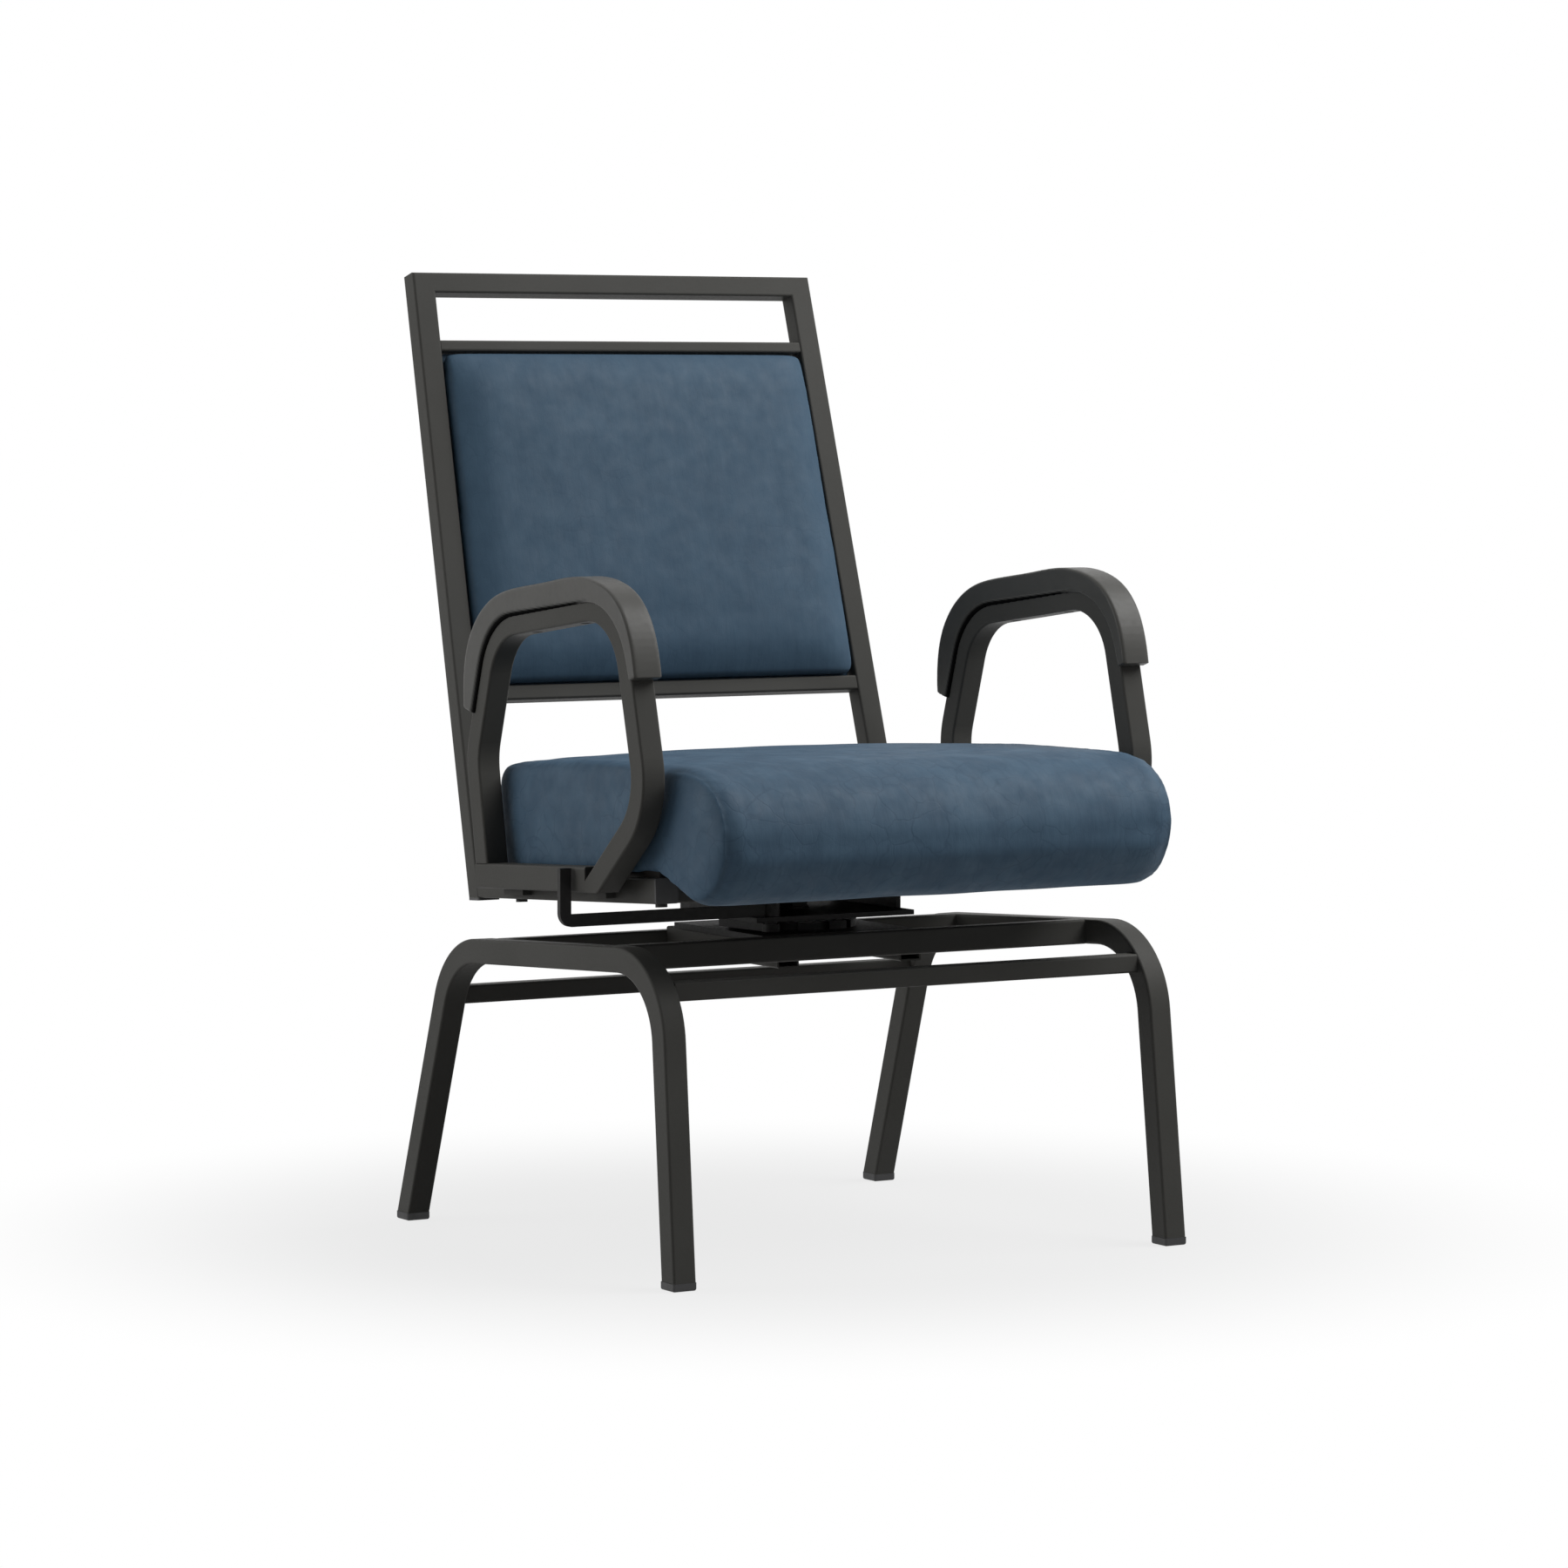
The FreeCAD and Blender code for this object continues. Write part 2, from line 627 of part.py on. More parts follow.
def pillow_section(inset, y):
    """Rounded outline of the back cushion at a depth, drawn in by inset."""
    top = BACK_CUSHION_TOP + 1.5 + inset
    low = BACK_CUSHION_BOTTOM - 1.5 - inset
    round_off = 6.0 + 0.45 * inset
    half_top = back_edge(top, TUBE + 2 + inset)
    half_low = back_edge(low, TUBE + 2 + inset)
    corners = [(half_top, top), (half_low, low), (-half_low, low), (-half_top, top)]
    points = [V(x, y, -down) for x, down in corners]
    edges = []
    for i in range(4):
        before = points[i - 1]
        here = points[i]
        after = points[(i + 1) % 4]
        start = here + (before - here).normalize() * round_off
        end = here + (after - here).normalize() * round_off
        middle = here + ((start + end) * 0.5 - here) * 0.586
        next_start = after + (here - after).normalize() * round_off
        edges.append(Part.Arc(start, middle, end).toShape())
        edges.append(Part.makeLine(end, next_start))
    return Part.Wire(edges)


def back_cushion():
    """Padded back: drawn-in border and a crowned front."""
    return on_back(Part.makeLoft([pillow_section(inset, y) for inset, y in BACK_PILLOW], True, True))


def back_panel():
    """Panel behind the padding."""
    outline = pillow_section(-1.2, 12.0)
    return on_back(Part.Face(outline).extrude(V(0, 6, 0)))


def panel_tab(down):
    """Steel tab on an upright's inner face, behind the panel."""
    edge = back_edge(down, TUBE + BACK_FLARE * 15)
    outline = [
        (edge - 22, down - 15),
        (back_edge(down - 15, TUBE), down - 15),
        (back_edge(down + 15, TUBE), down + 15),
        (edge - 22, down + 15),
    ]
    return on_back(back_prism(outline, 18, 21))


def panel_screw(down):
    """Screw from behind through a tab into the panel."""
    x = back_edge(down, TUBE + 12)
    head = Part.makeCylinder(4.5, 2.5, V(x, 21, -down), ALONG)
    return on_back(head.fuse(Part.makeCylinder(2, 8, V(x, 13, -down), ALONG)).removeSplitter())


def back():
    """Whole back."""
    upright = back_upright()
    screws = both_sides([panel_screw(down) for down in (150, 385)])
    tabs = both_sides([panel_tab(down) for down in (150, 385)])
    return {
        "left_back_upright": mirrored(upright),
        "right_back_upright": upright,
        "back_top_rail": back_rail(0, TOP_RAIL_DEPTH, 0, BACK_DEPTH, True),
        "back_upper_rail": back_rail(HAND_SLOT_END, BACK_CUSHION_TOP, 1, 21, False),
        "back_lower_rail": back_rail(BACK_CUSHION_BOTTOM, LOWER_RAIL_END, 1, 21, False),
        "back_cushion": back_cushion(),
        "back_panel": back_panel().cut(screws),
        "back_panel_tabs": tabs.cut(screws),
        "back_panel_screws": screws,
        "frame_end_plugs": both_sides(
            [on_seat(frame_plug(RAIL_INNER, RAIL_FRONT, RAIL_FRONT + 15)), upright_plug(upright)]
        ),
    }


# Lock lever: a flat bar on an upright shaft, with a toothed finger under the turning plate.


def lever_bar():
    """Flat bar that runs out under the arm and turns up into the handle."""
    top = LEVER_BOTTOM + LEVER_DEPTH
    inner = LEVER_OUTER + LEVER_DEPTH
    start = LEVER_Y - LEVER_THICKNESS / 2
    end = LEVER_Y + LEVER_THICKNESS / 2
    flat = box(LEVER_OUTER, LEVER_SHAFT_X + 8, start, end, LEVER_BOTTOM, top)
    handle = box(LEVER_OUTER, inner, start, end, LEVER_BOTTOM, HANDLE_TOP)
    bar = flat.fuse(handle).removeSplitter()
    corner = [edge for edge in bar.Edges if edge.CenterOfMass.distanceToPoint(bend_corner()) < 0.1]
    bar = bar.makeFillet(LEVER_BEND, corner)
    hub = rod(LEVER_SHAFT_X, LEVER_Y, LEVER_BOTTOM, top, 9)
    bar = bar.fuse(hub).removeSplitter()
    return on_swivel(bar.cut(rod(LEVER_SHAFT_X, LEVER_Y, 300, 400, LEVER_SHAFT_RADIUS)))


def bend_corner():
    """Lower outer corner of the lever before it is rounded."""
    return V(LEVER_OUTER, LEVER_Y, LEVER_BOTTOM)


def lock_pawl():
    """Finger on the shaft whose tooth stands clear of the index ring until the lever is turned."""
    hub = rod(LEVER_SHAFT_X, LEVER_Y, PAWL_BOTTOM, PAWL_TOP, 9)
    finger = box(-76, -68, LEVER_Y, 6, PAWL_BOTTOM, PAWL_TOP)
    tooth = box(-68, -NOTCH_FLOOR - 1.2, -4, 4, PAWL_BOTTOM, PAWL_TOP)
    pawl = hub.fuse([finger, tooth]).removeSplitter()
    pawl.rotate(V(LEVER_SHAFT_X, LEVER_Y, 0), UP, LOCK_TURN)
    return on_swivel(pawl.cut(rod(LEVER_SHAFT_X, LEVER_Y, 300, 400, LEVER_SHAFT_RADIUS)))


def lock_spring():
    """Coil pressed on the lever's hub, which keeps the lever where it is put."""
    turn = Part.Wire(Part.makeHelix(2.4, 9.6, 7.8).Edges)
    wire = Part.Wire(Part.makeCircle(0.7, V(7.8, 0, 0), ALONG))
    coil = turn.makePipeShell([wire], True, True)
    coil.translate(V(LEVER_SHAFT_X, LEVER_Y, LEVER_BOTTOM + LEVER_DEPTH + 1.0))
    return on_swivel(coil)


def lock():
    """Lever with everything that turns with it."""
    shaft = rod(LEVER_SHAFT_X, LEVER_Y, PAWL_BOTTOM, 364, LEVER_SHAFT_RADIUS)
    return {
        "lock_lever": lever_bar(),
        "lock_shaft": on_swivel(shaft),
        "lock_pawl": lock_pawl(),
        "lock_spring": lock_spring(),
    }


def chair():
    """Every piece by name."""
    arch = leg_arch()
    glides = [foot_glide(ARCH_LINE[0], ARCH_LINE[1]), foot_glide(ARCH_LINE[3], ARCH_LINE[2])]
    pieces = {
        "left_leg_arch": mirrored(arch),
        "right_leg_arch": arch,
        "foot_glides": both_sides(glides),
        "lock_index_ring": index_ring(),
        "swivel_top_plate": top_plate(),
        "spindle_washer": on_swivel(ring(SPINDLE_RADIUS + RUNNING_FIT, 17, TOP_PLATE_TOP, 340.2)),
        "seat_cushion": seat_cushion(),
    }
    for group in (crossbars(), swivel_base(), bearing(), seat_frame(), arms(), back(), lock()):
        pieces.update(group)
    for name in ("left_seat_rail", "right_seat_rail"):
        pieces[name] = pieces[name].cut(pieces["arm_bolts"])
    pieces["frame_end_plugs"] = pieces["frame_end_plugs"].cut(pieces["seat_screws"])
    return pieces


os.makedirs("parts", exist_ok=True)
for name, shape in chair().items():
    shape.exportStep(f"parts/{name}.step")
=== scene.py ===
"""Dining armchair: a coated steel frame that turns on its base, vinyl cushions and moulded arm pads."""

import json
import math

import bpy
from mathutils import Matrix, Vector, noise

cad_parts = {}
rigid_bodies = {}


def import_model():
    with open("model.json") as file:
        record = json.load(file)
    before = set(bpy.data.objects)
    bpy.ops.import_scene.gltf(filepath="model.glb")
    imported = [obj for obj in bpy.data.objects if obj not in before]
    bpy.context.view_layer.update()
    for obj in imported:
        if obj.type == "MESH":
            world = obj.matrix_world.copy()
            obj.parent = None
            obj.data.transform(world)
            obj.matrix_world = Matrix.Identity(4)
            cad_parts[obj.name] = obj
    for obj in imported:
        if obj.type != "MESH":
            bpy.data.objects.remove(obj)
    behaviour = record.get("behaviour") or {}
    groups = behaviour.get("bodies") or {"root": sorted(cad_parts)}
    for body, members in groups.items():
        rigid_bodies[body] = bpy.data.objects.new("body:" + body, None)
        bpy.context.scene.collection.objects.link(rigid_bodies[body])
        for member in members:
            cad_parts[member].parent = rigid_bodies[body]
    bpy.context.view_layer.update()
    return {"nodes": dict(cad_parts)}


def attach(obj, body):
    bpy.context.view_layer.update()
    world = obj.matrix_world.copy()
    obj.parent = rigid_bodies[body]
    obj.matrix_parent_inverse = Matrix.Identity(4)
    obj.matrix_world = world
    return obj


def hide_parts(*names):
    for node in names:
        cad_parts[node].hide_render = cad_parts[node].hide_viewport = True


bpy.ops.object.select_all(action="SELECT")
bpy.ops.object.delete()
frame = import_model()
bpy.ops.object.select_all(action="DESELECT")


# The view: a long lens about six metres away, a little above the seat, that looks at the chair's
# front and at the side with the lever.
camera_place = Vector((-3.0, -4.99705, 0.8611))
camera_aim = Vector((0.00694, -0.01065, 0.4635))
camera_turn = (camera_aim - camera_place).to_track_quat("-Z", "Y")
bpy.ops.object.camera_add(location=camera_place, rotation=camera_turn.to_euler())
bpy.context.object.data.lens = 129.63
bpy.context.scene.camera = bpy.context.object


# Base frame: two bent leg arches of square steel tube, with crossbars and stretchers welded between
# them and two bars under the swivel. All of it has one satin charcoal powder coat, baked on.
def add_node(material, kind, settings):
    """Node with its sockets set."""
    node = material.node_tree.nodes.new(kind)
    for socket, value in settings.items():
        node.inputs[socket].default_value = value
    return node


def join(material, start, end):
    """Link between two sockets."""
    material.node_tree.links.new(start, end)


def new_finish(name):
    """Empty material, its shader and the object's own coordinates."""
    material = bpy.data.materials.new(name)
    material.use_nodes = True
    shader = material.node_tree.nodes["Principled BSDF"]
    place = add_node(material, "ShaderNodeTexCoord", {}).outputs["Object"]
    return material, shader, place


def speckle(material, place, scale, detail):
    """Noise at a scale per metre."""
    pattern = add_node(material, "ShaderNodeTexNoise", {"Scale": scale, "Detail": detail})
    join(material, place, pattern.inputs["Vector"])
    return pattern.outputs["Fac"]


def tones(material, pattern, stops):
    """Colours spread over a pattern, as (position, colour) pairs."""
    ramp = add_node(material, "ShaderNodeValToRGB", {})
    elements = ramp.color_ramp.elements
    while len(elements) < len(stops):
        elements.new(0.5)
    for element, (position, colour) in zip(elements, stops):
        element.position = position
        element.color = (*colour, 1.0)
    join(material, pattern, ramp.inputs["Fac"])
    return ramp.outputs["Color"]


def spread(material, pattern, low, high):
    """Pattern stretched to a range of values."""
    span = {"From Min": 0.3, "From Max": 0.7, "To Min": low, "To Max": high}
    fit = add_node(material, "ShaderNodeMapRange", span)
    join(material, pattern, fit.inputs["Value"])
    return fit.outputs["Result"]


def raised(material, pattern, strength, depth, under=None):
    """Relief from a pattern, over another relief if there is one."""
    relief = add_node(material, "ShaderNodeBump", {"Strength": strength, "Distance": depth})
    join(material, pattern, relief.inputs["Height"])
    if under:
        join(material, under, relief.inputs["Normal"])
    return relief.outputs["Normal"]


def dress(names, material):
    """Give a finish to nodes whose shape is right."""
    for name in names:
        for slot in frame["nodes"][name].material_slots:
            slot.material = material


charcoal_coat, shader, place = new_finish("charcoal_coat")
drift = speckle(charcoal_coat, place, 7.0, 3.0)
colour = tones(charcoal_coat, drift, [(0.3, (0.064, 0.063, 0.058)), (0.7, (0.076, 0.075, 0.070))])
join(charcoal_coat, colour, shader.inputs["Base Color"])
grain = speckle(charcoal_coat, place, 420.0, 4.0)
join(charcoal_coat, spread(charcoal_coat, grain, 0.42, 0.54), shader.inputs["Roughness"])
peel = speckle(charcoal_coat, place, 950.0, 2.0)
join(charcoal_coat, raised(charcoal_coat, peel, 0.10, 0.0004), shader.inputs["Normal"])
shader.inputs["Specular IOR Level"].default_value = 0.07
dress(["left_leg_arch", "right_leg_arch", "front_crossbar", "rear_crossbar"], charcoal_coat)
dress(["front_stretcher", "rear_stretcher", "swivel_mount_bars"], charcoal_coat)


# Foot glides: moulded black nylon caps pushed into the four tube ends, a little wider than the tube.
# The floor has scuffed them dull.
moulded_black, shader, place = new_finish("moulded_black")
cloud = speckle(moulded_black, place, 60.0, 4.0)
colour = tones(moulded_black, cloud, [(0.3, (0.016, 0.016, 0.017)), (0.7, (0.026, 0.026, 0.027))])
join(moulded_black, colour, shader.inputs["Base Color"])
join(moulded_black, spread(moulded_black, cloud, 0.45, 0.65), shader.inputs["Roughness"])
texture = speckle(moulded_black, place, 1500.0, 2.0)
join(moulded_black, raised(moulded_black, texture, 0.15, 0.0003), shader.inputs["Normal"])
dress(["foot_glides"], moulded_black)


# Swivel: two black-oxide steel plates with a thrust bearing between them, a spindle with its nut, and
# the notched ring of the lock. The races, balls and cage are ground bearing steel.
black_steel, shader, place = new_finish("black_steel")
cloud = speckle(black_steel, place, 45.0, 4.0)
colour = tones(black_steel, cloud, [(0.3, (0.014, 0.014, 0.014)), (0.7, (0.023, 0.022, 0.021))])
join(black_steel, colour, shader.inputs["Base Color"])
scuff = speckle(black_steel, place, 300.0, 3.0)
join(black_steel, spread(black_steel, scuff, 0.40, 0.55), shader.inputs["Roughness"])
grit = speckle(black_steel, place, 800.0, 2.0)
join(black_steel, raised(black_steel, grit, 0.08, 0.0003), shader.inputs["Normal"])
shader.inputs["Specular IOR Level"].default_value = 0.15
dress(["swivel_base_plate", "swivel_top_plate", "base_plate_bolts", "lock_index_ring"], black_steel)
dress(["swivel_spindle", "spindle_nut", "spindle_washer"], black_steel)

bearing_steel, shader, place = new_finish("bearing_steel")
stretch = add_node(bearing_steel, "ShaderNodeMapping", {"Scale": (1.0, 1.0, 14.0)})
join(bearing_steel, place, stretch.inputs["Vector"])
brush = speckle(bearing_steel, stretch.outputs["Vector"], 130.0, 5.0)
colour = tones(bearing_steel, brush, [(0.3, (0.36, 0.36, 0.37)), (0.7, (0.50, 0.50, 0.49))])
join(bearing_steel, colour, shader.inputs["Base Color"])
join(bearing_steel, spread(bearing_steel, brush, 0.28, 0.45), shader.inputs["Roughness"])
join(bearing_steel, raised(bearing_steel, brush, 0.05, 0.0003), shader.inputs["Normal"])
shader.inputs["Metallic"].default_value = 1.0
dress(["lower_bearing_race", "upper_bearing_race", "bearing_balls", "bearing_cage"], bearing_steel)


# Seat frame: side rails that run back to the uprights, with cross tubes, end plugs, a plywood board
# stained black brown, and the screws that hold the board from below.
plywood, shader, place = new_finish("plywood")
stretch = add_node(plywood, "ShaderNodeMapping", {"Scale": (2.0, 34.0, 34.0)})
join(plywood, place, stretch.inputs["Vector"])
fibre = speckle(plywood, stretch.outputs["Vector"], 3.0, 6.0)
stain = [(0.3, (0.012, 0.010, 0.008)), (0.5, (0.018, 0.015, 0.012)), (0.7, (0.026, 0.021, 0.016))]
join(plywood, tones(plywood, fibre, stain), shader.inputs["Base Color"])
join(plywood, spread(plywood, fibre, 0.6, 0.75), shader.inputs["Roughness"])
join(plywood, raised(plywood, fibre, 0.2, 0.0006), shader.inputs["Normal"])
dress(["left_seat_rail", "right_seat_rail", "seat_cross_tubes"], charcoal_coat)
dress(["frame_end_plugs"], moulded_black)
dress(["seat_board"], plywood)
dress(["seat_screws"], black_steel)


# Seat cushion: foam on the board under one vinyl cover. A single panel wraps the top and rolls over
# the front, and a shaped panel closes each side. The seams are plain and drawn in.
def closed_copy(node, name, voxel):
    """Even skin over a node's solid."""
    piece = bpy.data.objects.new(name, frame["nodes"][node].data.copy())
    bpy.context.collection.objects.link(piece)
    bpy.ops.object.select_all(action="DESELECT")
    piece.select_set(True)
    bpy.context.view_layer.objects.active = piece
    bpy.ops.mesh.customdata_custom_splitnormals_clear()
    bpy.ops.object.mode_set(mode="EDIT")
    bpy.ops.mesh.select_all(action="SELECT")
    bpy.ops.mesh.remove_doubles(threshold=0.00002)
    bpy.ops.object.mode_set(mode="OBJECT")
    finish_with(piece, "REMESH", mode="VOXEL", voxel_size=voxel)
    return piece


def finish_with(piece, kind, **settings):
    """Add a modifier and apply it."""
    modifier = piece.modifiers.new(kind.lower(), kind)
    for setting, value in settings.items():
        setattr(modifier, setting, value)
    bpy.context.view_layer.objects.active = piece
    bpy.ops.object.modifier_apply(modifier=modifier.name)


def eased(value, low, high):
    """Smooth step from 0 at low to 1 at high."""
    share = max(0.0, min(1.0, (value - low) / (high - low)))
    return share * share * (3.0 - 2.0 * share)


def slackened(piece, share, depth):
    """Draw a skin inwards by a share of a depth that varies over it."""
    slack = piece.vertex_groups.new(name="slack")
    for vertex in piece.data.vertices:
        slack.add([vertex.index], share(vertex.co), "REPLACE")
    finish_with(piece, "DISPLACE", strength=-depth, mid_level=0.0, vertex_group=slack.name)
    piece.vertex_groups.clear()


def swollen(piece, held, cap, evening):
    """Let the filling push the cover out from its sewn points, capped and evened over neighbours."""
    pressure, last_step = 4.0, 20
    flat = [vertex.co.copy() for vertex in piece.data.vertices]
    outward = [vertex.normal.copy() for vertex in piece.data.vertices]
    sewn = piece.vertex_groups.new(name="sewn")
    sewn.add([i for i, place in enumerate(flat) if held(place)], 1.0, "REPLACE")
    cloth = piece.modifiers.new("cloth", "CLOTH")
    cloth.settings.use_pressure = True
    cloth.settings.uniform_pressure_force = pressure
    cloth.settings.vertex_group_mass = sewn.name
    cloth.settings.effector_weights.gravity = 0.0
    for step in range(1, last_step + 1):
        bpy.context.scene.frame_set(step)
    bpy.context.view_layer.objects.active = piece
    bpy.ops.object.modifier_apply(modifier=cloth.name)
    bpy.context.scene.frame_set(1)
    rises = []
    for vertex, start, way in zip(piece.data.vertices, flat, outward):
        rise = (vertex.co - start).dot(way)
        rises.append(0.0 if held(start) else max(0.0, min(cap, rise)))
    near = [[index] for index in range(len(rises))]
    for edge in piece.data.edges:
        first, second = edge.vertices
        near[first].append(second)
        near[second].append(first)
    for _ in range(evening):
        rises = [sum(rises[index] for index in around) / len(around) for around in near]
    for vertex, start, way, rise in zip(piece.data.vertices, flat, outward, rises):
        vertex.co = start + way * rise
    piece.vertex_groups.clear()


seat_place = Matrix.Translation((0, -0.0387, 0.3566)) @ Matrix.Rotation(math.radians(-3.3), 4, "X")
seat_top = 0.136
seat_rear = 0.136
rear_round = 0.02
skirt_bottom = 0.031
skirt_front = -0.184
board_top = 0.0374
glue_front = -0.186
nose_middle = Vector((-0.252, 0.065))
nose_radius = 0.0645
seam_x = 0.2605


def seat_seam_line():
    """Outline of a side panel in the seat's own plane, from the rear round the front to the skirt."""
    points = [Vector((seat_rear, skirt_bottom)), Vector((seat_rear, seat_top - rear_round))]
    points.append(Vector((seat_rear - 0.006, seat_top - 0.006)))
    points.append(Vector((seat_rear - rear_round, seat_top)))
    for i in range(17):
        turn = math.pi / 2 + math.pi * i / 16
        points.append(nose_middle + nose_radius * Vector((math.cos(turn), math.sin(turn))))
    points.append(Vector((skirt_front, skirt_bottom)))
    return points


def line_distance(point, line):
    """Distance from a point to a line of straight runs."""
    best = 1.0
    for start, end in zip(line, line[1:]):
        run = end - start
        share = max(0.0, min(1.0, (point - start).dot(run) / run.length_squared))
        best = min(best, (point - start - run * share).length)
    return best


seat_seam = seat_seam_line()
to_seat = seat_place.inverted()


def from_seam(place):
    """Distance of a point on the seat cushion from its nearer side seam."""
    local = to_seat @ place
    return math.hypot(abs(local.x) - seam_x, line_distance(local.yz, seat_seam))


def seat_slack(place):
    """Share of the draw-in: none at the seams and on the board, and less on the side panels."""
    local = to_seat @ place
    panel = 1.0 - 0.55 * eased(abs(local.x), 0.250, 0.262)
    return panel * eased(from_seam(place), 0.004, 0.03) * eased(local.z, board_top, board_top + 0.02)


def seat_held(place):
    """Points sewn into a seam or glued to the board."""
    local = to_seat @ place
    return from_seam(place) < 0.0045 or local.z < board_top + 0.002 and local.y > glue_front


def seam_groove(place, gap):
    """Depth of the drawn-in seam, which is a broad valley round the front and a crease elsewhere."""
    local = to_seat @ place
    front = eased(-local.y, 0.235, 0.29) * eased(local.z, -0.01, 0.035)
    valley = 0.0056 * front * math.exp(-((gap / 0.0160) ** 2))
    return valley + 0.0014 * (1.0 - front) * math.exp(-((gap / 0.006) ** 2))


seat_pad = closed_copy("seat_cushion", "seat_pad", 0.006)
finish_with(seat_pad, "SMOOTH", factor=0.5, iterations=3)
slackened(seat_pad, seat_slack, 0.005)
swollen(seat_pad, seat_held, 0.006, 8)
finish_with(seat_pad, "SMOOTH", factor=0.4, iterations=2)
finish_with(seat_pad, "SUBSURF", levels=1, render_levels=1)
seam = seat_pad.data.attributes.new("seam", "FLOAT", "POINT")
outward = [vertex.normal.copy() for vertex in seat_pad.data.vertices]
for vertex, normal in zip(seat_pad.data.vertices, outward):
    gap = from_seam(vertex.co)
    gather = 0.0008 * noise.noise(vertex.co * 95.0) * math.exp(-gap / 0.014)
    dent = 0.0010 * noise.noise(vertex.co * 13.0) * eased(gap, 0.0, 0.04)
    vertex.co -= normal * (seam_groove(vertex.co, gap) + gather + dent)
    seam.data[vertex.index].value = gap
bpy.ops.object.shade_smooth()


def slate_vinyl(name, seamed, mottle):
    """Soft vinyl with a pressed grain and some mottle, and painted shade next to its seams if seamed.
    """
    vinyl, shader, place = new_finish(name)
    pull = add_node(vinyl, "ShaderNodeMapping", {"Scale": (1.0, 0.22, 0.22)})
    join(vinyl, place, pull.inputs["Vector"])
    streak = speckle(vinyl, pull.outputs["Vector"], 130.0, 3.0)
    cloud = add_node(vinyl, "ShaderNodeMath", {1: 0.4})
    cloud.operation = "MULTIPLY_ADD"
    join(vinyl, streak, cloud.inputs[0])
    join(vinyl, speckle(vinyl, place, 24.0, 6.0), cloud.inputs[2])
    sway = add_node(vinyl, "ShaderNodeTexNoise", {"Scale": 30.0})
    join(vinyl, place, sway.inputs["Vector"])
    drawn = add_node(vinyl, "ShaderNodeVectorMath", {1: (0.03, 0.03, 0.03)})
    drawn.operation = "MULTIPLY_ADD"
    join(vinyl, sway.outputs["Color"], drawn.inputs[0])
    join(vinyl, place, drawn.inputs[2])
    cracks = add_node(vinyl, "ShaderNodeTexVoronoi", {"Scale": 36.0})
    cracks.feature = "DISTANCE_TO_EDGE"
    join(vinyl, drawn.outputs["Vector"], cracks.inputs["Vector"])
    crack_depth = {"From Max": 0.05, "To Min": -0.36 * mottle, "To Max": 0.0}
    fold = add_node(vinyl, "ShaderNodeMapRange", crack_depth)
    join(vinyl, cracks.outputs["Distance"], fold.inputs["Value"])
    worn = add_node(vinyl, "ShaderNodeMath", {})
    worn.operation = "MULTIPLY_ADD"
    join(vinyl, fold.outputs["Result"], worn.inputs[0])
    join(vinyl, spread(vinyl, speckle(vinyl, place, 9.0, 2.0), 0.0, 1.0), worn.inputs[1])
    join(vinyl, cloud.outputs["Value"], worn.inputs[2])
    half = 0.15 / mottle
    dark, light = (0.035, 0.073, 0.118), (0.050, 0.098, 0.151)
    stops = [(0.7 - half, dark), (0.7, (0.042, 0.085, 0.134)), (0.7 + half, light)]
    colour = tones(vinyl, worn.outputs["Value"], stops)
    # Painted shade: within 6 mm of a seam the colour is mixed up to a fifth of the way to near black,
    # standing in for the shade in the drawn-in seam.
    if seamed:
        edge = add_node(vinyl, "ShaderNodeAttribute", {})
        edge.attribute_name = "seam"
        seam_reach = {"From Min": 0.0004, "From Max": 0.006, "To Min": 0.8}
        painted_seam_shade = add_node(vinyl, "ShaderNodeMapRange", seam_reach)
        join(vinyl, edge.outputs["Fac"], painted_seam_shade.inputs["Value"])
        shade = add_node(vinyl, "ShaderNodeMix", {})
        shade.data_type = "RGBA"
        shade.inputs["A"].default_value = (0.006, 0.010, 0.014, 1.0)
        join(vinyl, painted_seam_shade.outputs["Result"], shade.inputs["Factor"])
        join(vinyl, colour, shade.inputs["B"])
        colour = shade.outputs["Result"]
    join(vinyl, colour, shader.inputs["Base Color"])
    soft = speckle(vinyl, place, 60.0, 5.0)
    join(vinyl, spread(vinyl, soft, 0.62, 0.74), shader.inputs["Roughness"])
    waves = raised(vinyl, speckle(vinyl, place, 30.0, 3.0), 0.16, 0.004)
    folds = raised(vinyl, worn.outputs["Value"], 0.14 * mottle, 0.003, waves)
    streaks = raised(vinyl, streak, 0.10, 0.002, folds)
    cells = add_node(vinyl, "ShaderNodeTexVoronoi", {"Scale": 700.0})
    join(vinyl, place, cells.inputs["Vector"])
    pressed = raised(vinyl, cells.outputs["Distance"], 0.07, 0.0005, streaks)
    join(vinyl, pressed, shader.inputs["Normal"])
    shader.inputs["Specular IOR Level"].default_value = 0.32
    return vinyl


seat_pad.data.materials.clear()
seat_pad.data.materials.append(slate_vinyl("seat_vinyl_sewn", True, 1.0))
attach(seat_pad, "seat")
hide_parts("seat_cushion")


# Arms: bent square tubes with a sloping front leg, on straight rails that are bolted to the seat frame
# through steel spacers. They have the frame's coat.
dress(["left_arm_tube", "right_arm_tube", "left_arm_rail", "right_arm_rail"], charcoal_coat)
dress(["arm_spacers"], charcoal_coat)
dress(["arm_bolts", "arm_pad_screws"], black_steel)
